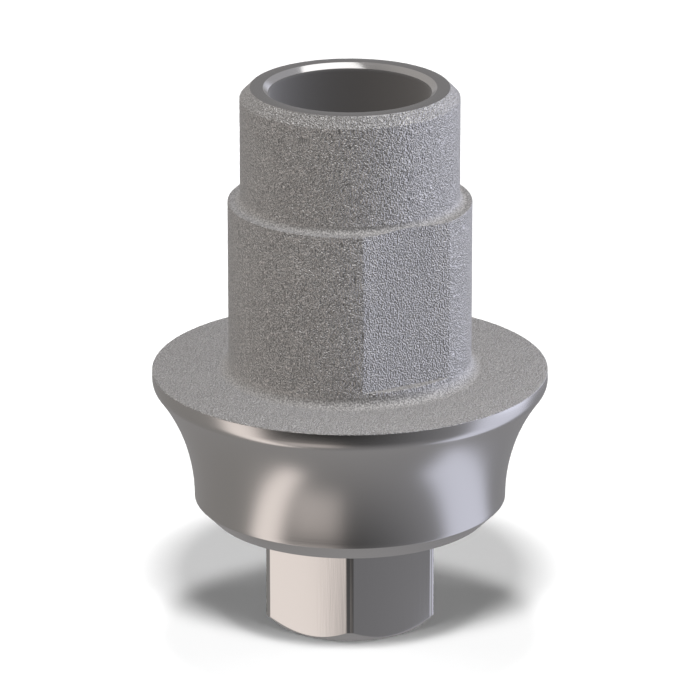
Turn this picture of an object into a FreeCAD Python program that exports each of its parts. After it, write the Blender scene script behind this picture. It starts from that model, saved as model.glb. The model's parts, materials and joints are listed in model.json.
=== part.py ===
import FreeCAD, Part

import math
import os

# Titanium base abutment for a dental implant: one machined piece, in millimetres.
# +Z is up and the origin is the middle of the hex's end face, which the part stands on.
# From the bottom up it has a hex for the implant, a flared collar with a flat flange,
# and a stepped chimney with one milled flat, and a screw channel runs right through it.

# Hex that drops into the implant
HEX_ACROSS_FLATS = 2.43
HEX_CORNER_RELIEF = 0.028       # turned off each sharp corner, on the radius
HEX_LENGTH = 1.61
HEX_END_BEVEL = 0.20            # 45 degrees, on the turned corners
HEX_SIDES = 6

# Collar that widens from the implant's platform to the flange
PLATFORM_RING_WIDTH = 0.645     # platform face, outside the hex's corners
PLATFORM_BEVEL = 0.24           # 45 degrees
FLARE_OVERHANG = 0.60           # how far the flange stands out past the bevel
COLLAR_HEIGHT = 2.19            # platform face to flange top
RIM_HEIGHT = 0.215              # straight edge of the flange
RIM_ROUNDING = 0.20             # where the rim turns into the flare

# Screw channel
HEX_WALL = 0.265                # thinnest wall, at the middle of a hex flat
SCREW_SEAT_WIDTH = 0.20         # conical seat of the screw's head, 90 degrees included
SCREW_SEAT_RISE = 0.40          # platform face up to the seat's lower edge
SHANK_HOLE_BEVEL = 0.08
CHANNEL_MOUTH_BEVEL = 0.09
CHANNEL_LIP_ROUNDING = 0.06

# Chimney that the crown is bonded to
UPPER_WALL = 0.425              # wall of the upper stage, round the channel
UPPER_STAGE_HEIGHT = 1.685
SHOULDER_WIDTH = 0.18           # step out to the lower stage
LOWER_STAGE_HEIGHT = 2.535
TOP_BEVEL = 0.15
SHOULDER_ROUNDING = 0.10
CHIMNEY_FOOT_ROUNDING = 0.15

# Milled flat on the lower stage, which stops the crown from turning
FLAT_STANDOFF = 0.03            # the flat clears the upper stage by this much
FLAT_LEDGE_HEIGHT = 0.21        # flange top up to the flat's foot

# Radii, each worked out from the hex
HEX_FLAT_DISTANCE = HEX_ACROSS_FLATS / 2
HEX_CORNER_RADIUS = HEX_FLAT_DISTANCE / math.cos(math.pi / HEX_SIDES)
TURNED_RADIUS = HEX_CORNER_RADIUS - HEX_CORNER_RELIEF
PLATFORM_RADIUS = TURNED_RADIUS + PLATFORM_RING_WIDTH
FLARE_FOOT_RADIUS = PLATFORM_RADIUS + PLATFORM_BEVEL
FLANGE_RADIUS = FLARE_FOOT_RADIUS + FLARE_OVERHANG
SHANK_HOLE_RADIUS = HEX_FLAT_DISTANCE - HEX_WALL
CHANNEL_RADIUS = SHANK_HOLE_RADIUS + SCREW_SEAT_WIDTH
UPPER_RADIUS = CHANNEL_RADIUS + UPPER_WALL
LOWER_RADIUS = UPPER_RADIUS + SHOULDER_WIDTH
CHIMNEY_FLAT_DISTANCE = UPPER_RADIUS + FLAT_STANDOFF

# Heights above the end face of the hex
PLATFORM_Z = HEX_LENGTH
FLARE_FOOT_Z = PLATFORM_Z + PLATFORM_BEVEL
FLANGE_Z = PLATFORM_Z + COLLAR_HEIGHT
RIM_CORNER_Z = FLANGE_Z - RIM_HEIGHT
LEDGE_Z = FLANGE_Z + FLAT_LEDGE_HEIGHT
SHOULDER_Z = FLANGE_Z + LOWER_STAGE_HEIGHT
TOP_Z = SHOULDER_Z + UPPER_STAGE_HEIGHT
SEAT_FOOT_Z = PLATFORM_Z + SCREW_SEAT_RISE
SEAT_TOP_Z = SEAT_FOOT_Z + SCREW_SEAT_WIDTH

CORNER_MATCH = 1e-6             # how closely a section's corner is recognised
AXIS = FreeCAD.Vector(0, 0, 1)
ORIGIN = FreeCAD.Vector(0, 0, 0)
SECTION_PLANE = Part.Plane(ORIGIN, FreeCAD.Vector(0, 1, 0))


def section_point(radius, height):
    return FreeCAD.Vector(radius, 0, height)


def chain(points):
    """Straight edges from each point to the next."""
    return [Part.makeLine(start, end) for start, end in zip(points, points[1:])]


def round_corner(edges, corner, rounding):
    """The same run of edges, with a tangent arc in place of the corner at this point."""
    arrives = [edge.Vertexes[-1].Point.isEqual(corner, CORNER_MATCH) for edge in edges]
    index = arrives.index(True)
    fillet = Part.ChFi2d.FilletAPI(edges[index], edges[index + 1], SECTION_PLANE)
    fillet.perform(rounding)
    arc, before, after = fillet.result(corner)
    return edges[:index] + [before, arc, after] + edges[index + 2:]


def revolve_section(edges):
    """Solid of a closed half section turned round the Z axis."""
    face = Part.Face(Part.Wire(edges))
    return face.revolve(ORIGIN, AXIS, 360)


def flare_arc(start, end):
    """Hollow arc between two section points, upright where it starts."""
    out = end.x - start.x
    rise = end.z - start.z
    radius = (out ** 2 + rise ** 2) / (2 * out)
    half_turn = math.atan2(out, rise)
    reach = FreeCAD.Vector(-math.cos(half_turn), 0, math.sin(half_turn)) * radius
    centre = section_point(start.x + radius, start.z)
    return Part.Arc(start, centre + reach, end).toShape()


def turned_body():
    """Collar, flange and chimney as they come off the lathe, without the channel."""
    flare_foot = section_point(FLARE_FOOT_RADIUS, FLARE_FOOT_Z)
    rim_corner = section_point(FLANGE_RADIUS, RIM_CORNER_Z)
    chimney_foot = section_point(LOWER_RADIUS, FLANGE_Z)
    shoulder_corner = section_point(UPPER_RADIUS, SHOULDER_Z)
    below = [
        section_point(0, PLATFORM_Z),
        section_point(PLATFORM_RADIUS, PLATFORM_Z),
        flare_foot,
    ]
    above = [
        rim_corner,
        section_point(FLANGE_RADIUS, FLANGE_Z),
        chimney_foot,
        section_point(LOWER_RADIUS, SHOULDER_Z),
        shoulder_corner,
        section_point(UPPER_RADIUS, TOP_Z - TOP_BEVEL),
        section_point(UPPER_RADIUS - TOP_BEVEL, TOP_Z),
        section_point(0, TOP_Z),
        section_point(0, PLATFORM_Z),
    ]
    section = chain(below) + [flare_arc(flare_foot, rim_corner)] + chain(above)
    section = round_corner(section, rim_corner, RIM_ROUNDING)
    section = round_corner(section, chimney_foot, CHIMNEY_FOOT_ROUNDING)
    section = round_corner(section, shoulder_corner, SHOULDER_ROUNDING)
    return revolve_section(section)


def hex_nose():
    """Hex whose corners and end are turned, with two of its flats facing -Y and +Y."""
    corners = []
    for index in range(HEX_SIDES + 1):
        angle = 2 * math.pi * index / HEX_SIDES
        x = HEX_CORNER_RADIUS * math.cos(angle)
        y = HEX_CORNER_RADIUS * math.sin(angle)
        corners.append(FreeCAD.Vector(x, y, 0))
    prism = Part.Face(Part.makePolygon(corners)).extrude(AXIS * PLATFORM_Z)
    blank = revolve_section(chain([
        section_point(0, 0),
        section_point(TURNED_RADIUS - HEX_END_BEVEL, 0),
        section_point(TURNED_RADIUS, HEX_END_BEVEL),
        section_point(TURNED_RADIUS, PLATFORM_Z),
        section_point(0, PLATFORM_Z),
        section_point(0, 0),
    ]))
    return prism.common(blank)


def screw_channel():
    """Space for the screw: its shank below, a conical seat, and its head above."""
    lip = section_point(CHANNEL_RADIUS, TOP_Z - CHANNEL_MOUTH_BEVEL)
    section = chain([
        section_point(0, 0),
        section_point(SHANK_HOLE_RADIUS + SHANK_HOLE_BEVEL, 0),
        section_point(SHANK_HOLE_RADIUS, SHANK_HOLE_BEVEL),
        section_point(SHANK_HOLE_RADIUS, SEAT_FOOT_Z),
        section_point(CHANNEL_RADIUS, SEAT_TOP_Z),
        lip,
        section_point(CHANNEL_RADIUS + CHANNEL_MOUTH_BEVEL, TOP_Z),
        section_point(0, TOP_Z),
        section_point(0, 0),
    ])
    return revolve_section(round_corner(section, lip, CHANNEL_LIP_ROUNDING))


def flat_cutter():
    """What the mill takes away: the -Y side of the lower stage, down to the ledge."""
    length = 2 * LOWER_RADIUS
    depth = LOWER_RADIUS - CHIMNEY_FLAT_DISTANCE
    height = SHOULDER_Z + SHOULDER_ROUNDING - LEDGE_Z
    corner = FreeCAD.Vector(-LOWER_RADIUS, -LOWER_RADIUS, LEDGE_Z)
    return Part.makeBox(length, depth, height, corner)


def abutment():
    body = turned_body().fuse(hex_nose()).removeSplitter()
    return body.cut(flat_cutter()).cut(screw_channel())


os.makedirs("parts", exist_ok=True)
shape = abutment()
shape.exportStep("parts/abutment_body.step")
print("volume in cubic millimetres:", round(shape.Volume, 3))
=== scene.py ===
import cmath
import json
import math

import bmesh
import bpy
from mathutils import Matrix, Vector


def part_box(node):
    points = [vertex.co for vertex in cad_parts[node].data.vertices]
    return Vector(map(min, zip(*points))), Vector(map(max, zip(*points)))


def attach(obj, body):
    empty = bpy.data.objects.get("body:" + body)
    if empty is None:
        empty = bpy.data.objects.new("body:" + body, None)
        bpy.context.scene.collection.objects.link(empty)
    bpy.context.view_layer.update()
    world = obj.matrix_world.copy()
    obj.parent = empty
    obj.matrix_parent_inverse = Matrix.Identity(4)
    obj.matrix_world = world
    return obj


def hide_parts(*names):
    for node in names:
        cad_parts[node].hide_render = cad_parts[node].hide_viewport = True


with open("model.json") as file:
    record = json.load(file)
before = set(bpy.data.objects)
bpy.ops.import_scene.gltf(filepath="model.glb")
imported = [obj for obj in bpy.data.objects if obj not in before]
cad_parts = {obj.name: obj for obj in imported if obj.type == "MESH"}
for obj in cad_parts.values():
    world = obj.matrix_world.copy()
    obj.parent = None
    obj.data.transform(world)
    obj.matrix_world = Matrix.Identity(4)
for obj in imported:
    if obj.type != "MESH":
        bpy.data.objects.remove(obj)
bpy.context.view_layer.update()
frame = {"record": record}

MM = 0.001
NODE = "abutment_body"
MOUNTS = {mount["name"]: mount for mount in frame["record"]["mounts"]}


def mount_radius(name):
    return MOUNTS[name]["dims"]["r_mm"] * MM


def mount_height(name):
    return MOUNTS[name]["pos_m"][2]


# Sizes that the frame gives
LOW_CORNER, HIGH_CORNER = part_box(NODE)
TOP_Z = HIGH_CORNER[2]
FLANGE_RADIUS = HIGH_CORNER[0]
PLATFORM_Z = mount_height("implant_seat")
FLANGE_Z = mount_height("crown_seat")
CHANNEL_RADIUS = mount_radius("screw_channel")
SHANK_HOLE_RADIUS = mount_radius("screw_hole")
UPPER_RADIUS = mount_radius("chimney_upper_stage")
CHIMNEY_FLAT_DISTANCE = -MOUNTS["chimney_flat"]["pos_m"][1]

# Hex
HEX_ACROSS_FLATS = 2.43 * MM
HEX_CORNER_RELIEF = 0.028 * MM  # turned off each sharp corner, on the radius
HEX_END_BEVEL = 0.20 * MM       # 45 degrees, on the turned corners
HEX_SIDES = 6
HEX_FLAT_DISTANCE = HEX_ACROSS_FLATS / 2
HEX_CORNER_RADIUS = HEX_FLAT_DISTANCE / math.cos(math.pi / HEX_SIDES)
TURNED_RADIUS = HEX_CORNER_RADIUS - HEX_CORNER_RELIEF

# Collar
PLATFORM_RING_WIDTH = 0.645 * MM    # platform face, outside the hex's corners
PLATFORM_BEVEL = 0.24 * MM
RIM_HEIGHT = 0.215 * MM         # straight edge of the flange
RIM_ROUNDING = 0.20 * MM        # where the rim turns into the flare
PLATFORM_RADIUS = TURNED_RADIUS + PLATFORM_RING_WIDTH
FLARE_FOOT_RADIUS = PLATFORM_RADIUS + PLATFORM_BEVEL
FLARE_FOOT_Z = PLATFORM_Z + PLATFORM_BEVEL
RIM_CORNER_Z = FLANGE_Z - RIM_HEIGHT

# Chimney
SHOULDER_WIDTH = 0.18 * MM      # step out to the lower stage
LOWER_STAGE_HEIGHT = 2.535 * MM
FLAT_LEDGE_HEIGHT = 0.21 * MM   # flange top up to the flat's foot
CHIMNEY_FOOT_ROUNDING = 0.15 * MM
SHOULDER_ROUNDING = 0.10 * MM
TOP_BEVEL = 0.15 * MM
LOWER_RADIUS = UPPER_RADIUS + SHOULDER_WIDTH
LEDGE_Z = FLANGE_Z + FLAT_LEDGE_HEIGHT
SHOULDER_Z = FLANGE_Z + LOWER_STAGE_HEIGHT

# Screw channel
SCREW_SEAT_RISE = 0.40 * MM     # platform face up to the seat's lower edge
SHANK_HOLE_BEVEL = 0.08 * MM
CHANNEL_MOUTH_BEVEL = 0.09 * MM
CHANNEL_LIP_ROUNDING = 0.06 * MM
SEAT_FOOT_Z = PLATFORM_Z + SCREW_SEAT_RISE
SEAT_TOP_Z = SEAT_FOOT_Z + CHANNEL_RADIUS - SHANK_HOLE_RADIUS

# Mesh
EDGE_BREAK = 0.012 * MM         # every crisp edge is broken by this much
HEX_CORNER_SOFTNESS = EDGE_BREAK / 10   # where a hex flat meets its turned corner
FLAT_EDGE_SOFTNESS = EDGE_BREAK / 4     # where the chimney's flat meets the round
LARGEST_TRIM = 0.4              # share of an edge that a rounding at its end may take
FLAT_DIRECTION = 270            # degrees round the axis, the -Y side
FLAT_REACH = 0.5                # cosine of an angle from that side, past which all is round
EDGE_STEPS = 3
ROUNDING_STEPS = 9
FLARE_STEPS = 26
EVEN_STEPS = 360                # round the axis
CORNER_SAMPLES = (-0.9, -0.5, -0.25, -0.08, 0.0, 0.08, 0.25, 0.5, 0.9)  # degrees from an edge
MERGE_DISTANCE = 0.0001 * MM
SHARP_ANGLE = math.radians(35)

# Finish; each noise scale is in cells per millimetre
TITANIUM = (0.56, 0.55, 0.54)
GRAIN_SCALE = 46
GRAIN_VALLEY = 0.3              # value of the noise in a valley of the blasted grain
GRAIN_RIDGE = 0.7
VALLEY_PAINTED_SHADE = 0.73             # share of the titanium's colour there, darker as painted shade in the grain's valleys
# share of the titanium's colour on the grain's ridges, lighter as painted highlight
RIDGE_PAINTED_HIGHLIGHT = 1.22
GRAIN_DEPTH = 0.029 * MM
ROUNDING_GRAIN_DEPTH = 0.010 * MM
RING_SCALE = 40
RING_DEPTH = 0.0004 * MM
HEX_CROWN = 0.07 * MM           # what a hex flat drops by, one radian from its middle
MARK_SCALE = 30
MARK_STRETCH = 0.05             # upright scale of the hex's marks against their scale across
MARK_DEPTH = 0.008              # share of the crown
NOISE_DETAIL = 2

# Camera, worked out from the circles and heights in the photograph
CAMERA_AZIMUTH = math.radians(-30)
CAMERA_ELEVATION = math.radians(19.3)
CAMERA_DISTANCE = 86.16 * MM
CAMERA_LENS = 306.8
CAMERA_NEAR = 0.1 * MM
CAMERA_FAR = 10
TARGET_ABOVE_FLANGE = 0.254 * MM
TARGET = Vector((0, 0, FLANGE_Z + TARGET_ABOVE_FLANGE))


def soft_min(first, second, softness):
    """Smaller of two radii, with the corner between them broken."""
    return min(first, second) - softness * math.log1p(math.exp(-abs(first - second) / softness))


def hex_radius(angle):
    """Radius of the hex at this angle round the axis: its flats, with the corners turned."""
    side = 2 * math.pi / HEX_SIDES
    turn = angle % side - side / 2
    return soft_min(HEX_FLAT_DISTANCE / math.cos(turn), TURNED_RADIUS, HEX_CORNER_SOFTNESS)


def lower_stage_radius(angle):
    """Radius of the chimney's lower stage, with its flat on the -Y side."""
    depth = -math.sin(angle)
    if depth <= FLAT_REACH:
        return LOWER_RADIUS
    return soft_min(CHIMNEY_FLAT_DISTANCE / depth, LOWER_RADIUS, FLAT_EDGE_SOFTNESS)


def shoulder_height(radius):
    """Height of the shoulder at this radius, where its rounding climbs the upper stage."""
    into_rounding = UPPER_RADIUS + SHOULDER_ROUNDING - radius
    if into_rounding <= 0:
        return SHOULDER_Z
    drop = math.sqrt(max(0, SHOULDER_ROUNDING ** 2 - into_rounding ** 2))
    return SHOULDER_Z + SHOULDER_ROUNDING - drop


def arc(centre, radius, start, end, steps):
    """Points on an arc, as radius + height * 1j; start and end are angles."""
    return [centre + cmath.rect(radius, start + (end - start) * step / steps)
            for step in range(steps + 1)]


def flare_points():
    """The hollow flare, upright at its foot, and the rounding that turns it into the rim."""
    out = FLANGE_RADIUS - FLARE_FOOT_RADIUS
    rise = RIM_CORNER_Z - FLARE_FOOT_Z
    radius = (out ** 2 + rise ** 2) / (2 * out)
    centre = complex(FLARE_FOOT_RADIUS + radius, FLARE_FOOT_Z)
    across = centre.real - (FLANGE_RADIUS - RIM_ROUNDING)
    up = math.sqrt((radius + RIM_ROUNDING) ** 2 - across ** 2)
    meeting = math.atan2(up, across)
    rounding_centre = centre + complex(-across, up)
    flare = arc(centre, radius, math.pi, math.pi - meeting, FLARE_STEPS)
    rounding = arc(rounding_centre, RIM_ROUNDING, -meeting, 0, ROUNDING_STEPS)
    return flare[1:] + rounding[1:]


def hollow_points(radius, height, rounding):
    """The rounding between a flat step and the wall of this radius that rises from it."""
    centre = complex(radius + rounding, height + rounding)
    return arc(centre, rounding, -math.pi / 2, -math.pi, ROUNDING_STEPS)


def shoulder_points(lower):
    """The shoulder's rounding, cut off by the flat."""
    rounding = hollow_points(UPPER_RADIUS, SHOULDER_Z, SHOULDER_ROUNDING)
    radii = [min(point.real, lower) for point in rounding]
    return [complex(radius, shoulder_height(radius)) for radius in radii]


def blasted_rounding(points):
    """Corners of a rounding in its own finish, a lighter copy of the blasted titanium as painted
    highlight, with the wall's finish after it.
    """
    return [(point, 0, "rounded") for point in points[:-1]] + [(points[-1], 0, "blasted")]


FLARE = flare_points()
CHIMNEY_FOOT = hollow_points(LOWER_RADIUS, FLANGE_Z, CHIMNEY_FOOT_ROUNDING)


# Corners of the section, in order: each one's place, its rounding, and the finish that follows it
def hex_corners(angle):
    """The hex's end face, its bevel, and its side at this angle."""
    radius = hex_radius(angle)
    bevel_z = HEX_END_BEVEL - (TURNED_RADIUS - radius)
    return [
        (complex(SHANK_HOLE_RADIUS + SHANK_HOLE_BEVEL, 0), EDGE_BREAK, "turned"),
        (complex(TURNED_RADIUS - HEX_END_BEVEL, 0), EDGE_BREAK, "turned"),
        (complex(radius, bevel_z), EDGE_BREAK, "milled"),
        (complex(radius, PLATFORM_Z), 0, "turned"),
    ]


def collar_corners():
    """The platform, its bevel, the flare and the flange's edge."""
    platform = [
        (complex(PLATFORM_RADIUS, PLATFORM_Z), EDGE_BREAK, "turned"),
        (complex(FLARE_FOOT_RADIUS, FLARE_FOOT_Z), EDGE_BREAK, "turned"),
    ]
    flare = [(point, 0, "turned") for point in FLARE]
    return platform + flare + [(complex(FLANGE_RADIUS, FLANGE_Z), EDGE_BREAK, "blasted")]


def chimney_corners(angle):
    """The chimney's outside from its foot to its top face, with the flat at some angles."""
    lower = lower_stage_radius(angle)
    stage = [
        (complex(LOWER_RADIUS, LEDGE_Z), EDGE_BREAK, "blasted"),
        (complex(lower, LEDGE_Z), 0, "blasted"),
        (complex(lower, shoulder_height(lower)), EDGE_BREAK, "blasted"),
    ]
    top = [
        (complex(UPPER_RADIUS, TOP_Z - TOP_BEVEL), EDGE_BREAK, "blasted"),
        (complex(UPPER_RADIUS - TOP_BEVEL, TOP_Z), EDGE_BREAK, "ground"),
    ]
    return blasted_rounding(CHIMNEY_FOOT) + stage + blasted_rounding(shoulder_points(lower)) + top


def channel_corners():
    """The screw channel, from its mouth down."""
    return [
        (complex(CHANNEL_RADIUS + CHANNEL_MOUTH_BEVEL, TOP_Z), EDGE_BREAK, "mouth"),
        (complex(CHANNEL_RADIUS, TOP_Z - CHANNEL_MOUTH_BEVEL), CHANNEL_LIP_ROUNDING, "bore"),
        (complex(CHANNEL_RADIUS, SEAT_TOP_Z), EDGE_BREAK, "bore"),
        (complex(SHANK_HOLE_RADIUS, SEAT_FOOT_Z), EDGE_BREAK, "bore"),
        (complex(SHANK_HOLE_RADIUS, SHANK_HOLE_BEVEL), EDGE_BREAK, "turned"),
    ]


def round_off(before, corner, after, rounding):
    """Points of a corner that has become a tangent arc, or all in one place if there's no room."""
    if rounding == 0:
        return [corner]
    steps = EDGE_STEPS if rounding == EDGE_BREAK else ROUNDING_STEPS
    arriving = corner - before
    leaving = after - corner
    room = LARGEST_TRIM * min(abs(arriving), abs(leaving))
    if room < MERGE_DISTANCE:
        return [corner] * (steps + 1)
    turn = cmath.phase(leaving / arriving)
    reach = min(rounding * math.tan(abs(turn) / 2), room)
    spoke = arriving / abs(arriving) * math.copysign(reach / math.tan(abs(turn) / 2), turn) * 1j
    centre = corner - arriving / abs(arriving) * reach + spoke
    return [centre - spoke * cmath.rect(1, turn * step / steps) for step in range(steps + 1)]


def section(angle):
    """Points of the closed half section at this angle, each with the finish that follows it.

    Every angle gives the same number of points, with the same finishes.
    """
    corners = hex_corners(angle) + collar_corners() + chimney_corners(angle) + channel_corners()
    points = []
    for index, (corner, rounding, finish) in enumerate(corners):
        before = corners[index - 1][0]
        after = corners[(index + 1) % len(corners)][0]
        points += [(point, finish) for point in round_off(before, corner, after, rounding)]
    return points


def flat_edges(direction, distance, radius):
    """Where a flat that faces this way ends on a round of this radius, in degrees."""
    half = math.degrees(math.acos(distance / radius))
    return [direction - half, direction + half]


def sample_angles():
    """Even steps round the axis, with closer ones where a flat turns into a round."""
    edges = flat_edges(FLAT_DIRECTION, CHIMNEY_FLAT_DISTANCE, LOWER_RADIUS)
    edges += flat_edges(FLAT_DIRECTION, CHIMNEY_FLAT_DISTANCE, UPPER_RADIUS + SHOULDER_ROUNDING)
    for index in range(HEX_SIDES):
        edges += flat_edges(360 * (index + 0.5) / HEX_SIDES, HEX_FLAT_DISTANCE, TURNED_RADIUS)
    degrees = {360 * step / EVEN_STEPS for step in range(EVEN_STEPS)}
    for edge in edges:
        degrees.update((edge + offset) % 360 for offset in CORNER_SAMPLES)
    return [math.radians(degree) for degree in sorted(degrees)]


def section_vertices(skin, angle):
    """Vertices of the section at this angle, in order."""
    spin = Vector((math.cos(angle), math.sin(angle), 0))
    return [skin.verts.new(spin * point.real + Vector((0, 0, point.imag)))
            for point, finish in section(angle)]


def lathe_mesh(name, finishes):
    """The whole part as one closed skin, each face's material index set to its finish's place in this
    list.
    """
    skin = bmesh.new()
    rows = [section_vertices(skin, angle) for angle in sample_angles()]
    slots = [finishes.index(finish) for point, finish in section(0)]
    for row, following in zip(rows, rows[1:] + rows[:1]):
        for index, slot in enumerate(slots):
            after = (index + 1) % len(slots)
            face = skin.faces.new((row[index], following[index], following[after], row[after]))
            face.material_index = slot
            face.smooth = True
    bmesh.ops.remove_doubles(skin, verts=skin.verts, dist=MERGE_DISTANCE)
    bmesh.ops.recalc_face_normals(skin, faces=skin.faces)
    mesh = bpy.data.meshes.new(name)
    skin.to_mesh(mesh)
    skin.free()
    mesh.set_sharp_from_angle(angle=SHARP_ANGLE)
    return mesh


def node(tree, kind, inputs=None, **properties):
    """A shader node with its properties set and its inputs given as values or as links."""
    made = tree.nodes.new("ShaderNode" + kind)
    for name, value in properties.items():
        setattr(made, name, value)
    for name, value in (inputs or {}).items():
        if isinstance(value, bpy.types.NodeSocket):
            tree.links.new(value, made.inputs[name])
        else:
            made.inputs[name].default_value = value
    return made


def calculate(tree, operation, *values):
    """Result of a Math node."""
    return node(tree, "Math", dict(enumerate(values)), operation=operation).outputs[0]


def square(tree, value):
    return calculate(tree, "MULTIPLY", value, value)


def remap(tree, value, low, high, to_low, to_high):
    """Smooth step of a value from one range to another."""
    ranges = {"Value": value, "From Min": low, "From Max": high, "To Min": to_low, "To Max": to_high}
    return node(tree, "MapRange", ranges, interpolation_type="SMOOTHSTEP").outputs[0]


def metal(name, roughness, brightness=1.0):
    """Bare titanium, and its coordinates in millimetres."""
    material = bpy.data.materials.new(name)
    material.use_nodes = True
    tree = material.node_tree
    shader = tree.nodes["Principled BSDF"]
    shader.inputs["Metallic"].default_value = 1
    colour = [brightness * part for part in TITANIUM]
    shader.inputs["Base Color"].default_value = (*colour, 1)
    shader.inputs["Roughness"].default_value = roughness
    place = node(tree, "TexCoord").outputs["Object"]
    millimetres = node(tree, "VectorMath", {0: place, "Scale": 1 / MM}, operation="SCALE")
    return material, tree, shader, millimetres.outputs[0]


def bump(tree, shader, height, depth):
    """Bump that is this many metres deep where its height changes by 1."""
    made = node(tree, "Bump", {"Height": height, "Distance": depth, "Strength": 1.0})
    tree.links.new(made.outputs[0], shader.inputs["Normal"])


def blasted(name, roughness, depth, brightness):
    """Grit-blasted titanium: a fine wrinkled grain all over, its colour darker in the valleys as
    painted shade and lighter on the ridges as painted highlight.
    """
    material, tree, shader, place = metal(name, roughness)
    grain = node(tree, "TexNoise", {"Vector": place, "Scale": GRAIN_SCALE, "Detail": 0})
    bump(tree, shader, grain.outputs[0], depth)
    # painted shade and highlight: the colour follows the grain's height, darker in its valleys and
    # lighter on its ridges
    shade = remap(tree, grain.outputs[0], GRAIN_VALLEY, GRAIN_RIDGE,
                  VALLEY_PAINTED_SHADE * brightness, RIDGE_PAINTED_HIGHLIGHT * brightness)
    colour = node(tree, "VectorMath", {0: TITANIUM, "Scale": shade}, operation="SCALE")
    tree.links.new(colour.outputs[0], shader.inputs["Base Color"])
    return material


def turned(name, roughness, brightness):
    """Satin titanium from the lathe, with faint rings round the axis."""
    material, tree, shader, place = metal(name, roughness, brightness)
    x, y, z = node(tree, "SeparateXYZ", {0: place}).outputs
    radius = calculate(tree, "SQRT", calculate(tree, "ADD", square(tree, x), square(tree, y)))
    ring = node(tree, "CombineXYZ", {0: radius, 2: z}).outputs[0]
    lines = node(tree, "TexNoise", {"Vector": ring, "Scale": RING_SCALE, "Detail": NOISE_DETAIL})
    bump(tree, shader, lines.outputs[0], RING_DEPTH)
    return material


def milled(name, roughness, brightness):
    """Hex flats from the mill, nearly a mirror, a little crowned and with marks along them."""
    material, tree, shader, place = metal(name, roughness, brightness)
    parts = node(tree, "SeparateXYZ", {0: place})
    angle = calculate(tree, "ARCTAN2", parts.outputs[1], parts.outputs[0])
    half = math.pi / HEX_SIDES
    turn = calculate(tree, "WRAP", calculate(tree, "SUBTRACT", angle, half), half, -half)
    crown = square(tree, turn)
    along = node(tree, "Mapping", {"Vector": place, "Scale": (1, 1, MARK_STRETCH)}).outputs[0]
    marks = node(tree, "TexNoise", {"Vector": along, "Scale": MARK_SCALE, "Detail": NOISE_DETAIL})
    raised = calculate(tree, "MULTIPLY", marks.outputs[0], MARK_DEPTH)
    bump(tree, shader, calculate(tree, "SUBTRACT", raised, crown), HEX_CROWN)
    return material


# The material of each finish that the section names; the ground ring, mouth and bore are darker copies
# of the titanium as painted shade, the roundings a lighter copy as painted highlight
FINISHES = {
    "turned": turned("turned_titanium", roughness=0.24, brightness=1.0),
    "milled": milled("milled_titanium", roughness=0.13, brightness=0.95),
    "blasted": blasted("blasted_titanium", roughness=0.36, depth=GRAIN_DEPTH, brightness=0.98),
    # the roundings at the chimney's foot and shoulder: a lighter copy of the blasted titanium, painted
    # highlight
    "rounded": blasted("blasted_rounding", roughness=0.7, depth=ROUNDING_GRAIN_DEPTH, brightness=1.07),
    # the chimney's top ring: a darker copy of the titanium, painted shade
    "ground": turned("ground_titanium", roughness=0.25, brightness=0.64),
    # the channel's mouth bevel: a darker copy of the titanium, painted shade on its reflection
    "mouth": turned("bevelled_titanium", roughness=0.16, brightness=0.85),
    # the screw channel: a dark, very rough copy of the titanium, painted shade inside the bore, which
    # doesn't shade itself
    "bore": turned("bored_titanium", roughness=0.9, brightness=0.58),
}


def abutment():
    """The finished part, which stands for its CAD node and isn't seen in its own reflections."""
    mesh = lathe_mesh("abutment", list(FINISHES))
    for material in FINISHES.values():
        mesh.materials.append(material)
    piece = bpy.data.objects.new("abutment", mesh)
    bpy.context.scene.collection.objects.link(piece)
    weighted = piece.modifiers.new("weighted_normals", "WEIGHTED_NORMAL")
    weighted.keep_sharp = True
    piece.visible_glossy = False
    piece.visible_diffuse = False
    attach(piece, "root")
    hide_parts(NODE)


# Stage, in metres and watts, with angles in degrees
FLOOR_SIZE = 1.0
FLOOR_GAP = 0.002 * MM
FLOOR_ALBEDO = 0.95
LAMP_DISTANCE = 0.25

# Lamps: name, azimuth from the camera, elevation, width, height, power, and what it lights
SOFTBOXES = (
    ("key", 0, 64, 0.055, 0.035, 0.475, "floor"),
    ("left_fill", -35, 38, 0.07, 0.06, 0.145, "floor"),
    ("right_fill", 35, 38, 0.07, 0.06, 0.145, "floor"),
    ("left_side", -102, 24, 0.06, 0.05, 0.075, "floor"),
    ("right_side", 102, 24, 0.06, 0.05, 0.075, "floor"),
    ("back", 180, 77.5, 0.035, 0.045, 0.225, "floor"),
    ("top", 48, 72, 0.27, 0.14, 0.205, "metal"),
)

WARM = (1.0, 0.90, 0.85, 1)
COOL = (0.80, 0.83, 1.0, 1)
WARM_ROOM = (1.03, 0.99, 0.96, 1)
COOL_ROOM = (0.98, 0.98, 1.04, 1)
WHITE = (1, 1, 1, 1)

# Lit patches of the room: from, to and softness sideways and then upright, where sideways is
# from the camera's direction and negative on its left; then colour and strength
PATCHES = (
    ((-78, -53, 13), (-67, 0, 11), WARM, 1.16),
    ((76, 124, 15), (-61, 26, 10), COOL, 0.82),
    ((96, 156, 20), (-10, 13, 16), COOL, 1.12),
    ((-46, -8, 20), (-56, -24, 20), WARM, 0.5),
)
ROOM_BELOW = 0.33               # brightness of the room below the horizon
ROOM_ABOVE = 0.615
HORIZON = (-5, 1)               # where the one turns into the other

# Dimmer sides of the room, by the camera and behind the part, and a brighter one low behind
# it: azimuth, elevation, share of the light that is missing, and narrowness
DIMMINGS = (
    (-9, 9, 0.94, 1.5),
    (180, 18, 0.4, 12),
    (180, -72, -0.2, 12),
)


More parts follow.
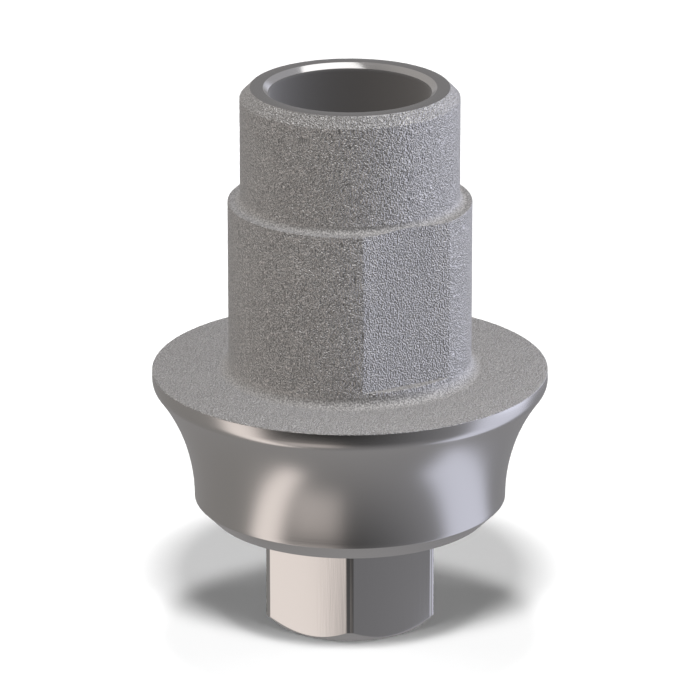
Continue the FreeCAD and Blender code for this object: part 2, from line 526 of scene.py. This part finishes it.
def floor():
    """White floor that keeps the part's shadow; the metal reflects the studio without it."""
    mesh = bpy.data.meshes.new("floor")
    half = FLOOR_SIZE / 2
    corners = [(-half, -half, 0), (half, -half, 0), (half, half, 0), (-half, half, 0)]
    mesh.from_pydata(corners, [], [(0, 1, 2, 3)])
    ground = bpy.data.objects.new("floor", mesh)
    ground.location.z = LOW_CORNER[2] - FLOOR_GAP
    ground.visible_glossy = False
    bpy.context.scene.collection.objects.link(ground)
    material = bpy.data.materials.new("floor")
    material.use_nodes = True
    shader = material.node_tree.nodes["Principled BSDF"]
    shader.inputs["Base Color"].default_value = (FLOOR_ALBEDO, FLOOR_ALBEDO, FLOOR_ALBEDO, 1)
    shader.inputs["Roughness"].default_value = 1
    shader.inputs["Specular IOR Level"].default_value = 0
    mesh.materials.append(material)


def camera_direction(azimuth, elevation):
    """Unit vector from the part towards a camera at these angles."""
    return Vector((math.sin(azimuth) * math.cos(elevation),
                   -math.cos(azimuth) * math.cos(elevation),
                   math.sin(elevation)))


def dimmed(tree, level, direction, azimuth, elevation, share, narrowness):
    """The level, with this share of it missing in one direction, and less and less round it."""
    middle = camera_direction(math.radians(azimuth), math.radians(elevation))
    facing = node(tree, "VectorMath", {0: direction, 1: middle}, operation="DOT_PRODUCT")
    near = calculate(tree, "MAXIMUM", facing.outputs["Value"], 0.0)
    missing = calculate(tree, "MULTIPLY", calculate(tree, "POWER", near, narrowness), share)
    return calculate(tree, "MULTIPLY", level, calculate(tree, "SUBTRACT", 1.0, missing))


def grey_room(tree, direction, to_right, elevation):
    """The room without its lit patches, warmer on the camera's left than on its right."""
    low, high = (math.radians(angle) for angle in HORIZON)
    level = remap(tree, elevation, low, high, ROOM_BELOW, ROOM_ABOVE)
    for dimming in DIMMINGS:
        level = dimmed(tree, level, direction, *dimming)
    share = remap(tree, to_right, -1, 1, 0, 1)
    tint = node(tree, "Mix", {"Factor": share, "A": WARM_ROOM, "B": COOL_ROOM}, data_type="RGBA")
    return node(tree, "Background", {"Color": tint.outputs[2], "Strength": level}).outputs[0]


def band(tree, value, low, high, softness):
    """1 between two angles in degrees and 0 outside, with soft ends."""
    low, high, softness = (math.radians(angle) for angle in (low, high, softness))
    rising = remap(tree, value, low - softness / 2, low + softness / 2, 0, 1)
    falling = remap(tree, value, high - softness / 2, high + softness / 2, 1, 0)
    return calculate(tree, "MULTIPLY", rising, falling)


def studio():
    """A grey room with lit patches, which lights only the metal and which the camera sees white."""
    world = bpy.data.worlds.new("studio")
    bpy.context.scene.world = world
    world.use_nodes = True
    world.cycles_visibility.diffuse = False
    tree = world.node_tree
    tree.nodes.clear()
    place = node(tree, "TexCoord").outputs["Generated"]
    direction = node(tree, "Mapping", {"Vector": place, "Rotation": (0, 0, -CAMERA_AZIMUTH)}).outputs[0]
    to_right, to_back, upward = node(tree, "SeparateXYZ", {0: direction}).outputs
    to_camera = calculate(tree, "MULTIPLY", to_back, -1.0)
    azimuth = calculate(tree, "ARCTAN2", to_right, to_camera)
    elevation = calculate(tree, "ARCSINE", upward)
    room = grey_room(tree, direction, to_right, elevation)
    for sideways, upright, colour, strength in PATCHES:
        mask = calculate(tree, "MULTIPLY", band(tree, azimuth, *sideways),
                         band(tree, elevation, *upright))
        level = calculate(tree, "MULTIPLY", mask, strength)
        patch = node(tree, "Background", {"Color": colour, "Strength": level})
        room = node(tree, "AddShader", {0: room, 1: patch.outputs[0]}).outputs[0]
    white = node(tree, "Background", {"Color": WHITE, "Strength": 1})
    seen = node(tree, "LightPath").outputs["Is Camera Ray"]
    mixed = node(tree, "MixShader", {0: seen, 1: room, 2: white.outputs[0]})
    node(tree, "OutputWorld", {"Surface": mixed.outputs[0]})


def place_facing(thing, direction, distance):
    """Put a lamp or camera this far out from the target, facing it."""
    place = TARGET + distance * direction
    thing.location = place
    thing.rotation_euler = (TARGET - place).to_track_quat("-Z", "Y").to_euler()


def softbox(name, azimuth, elevation, width, height, power, lit):
    """Panel that faces the part and lights only the floor or only the metal."""
    lamp = bpy.data.lights.new(name, "AREA")
    lamp.shape = "RECTANGLE"
    lamp.size = width
    lamp.size_y = height
    lamp.energy = power
    holder = bpy.data.objects.new(name, lamp)
    bpy.context.scene.collection.objects.link(holder)
    holder.visible_camera = False
    holder.visible_glossy = lit == "metal"
    holder.visible_diffuse = lit == "floor"
    direction = camera_direction(CAMERA_AZIMUTH + math.radians(azimuth), math.radians(elevation))
    place_facing(holder, direction, LAMP_DISTANCE)


def camera():
    """Camera that sees the part as the photograph does."""
    lens = bpy.data.cameras.new("camera")
    lens.lens = CAMERA_LENS
    lens.clip_start = CAMERA_NEAR
    lens.clip_end = CAMERA_FAR
    holder = bpy.data.objects.new("camera", lens)
    bpy.context.scene.collection.objects.link(holder)
    place_facing(holder, camera_direction(CAMERA_AZIMUTH, CAMERA_ELEVATION), CAMERA_DISTANCE)
    bpy.context.scene.camera = holder


abutment()
floor()
studio()
for panel in SOFTBOXES:
    softbox(*panel)
camera()
bpy.context.scene.view_settings.view_transform = "Standard"
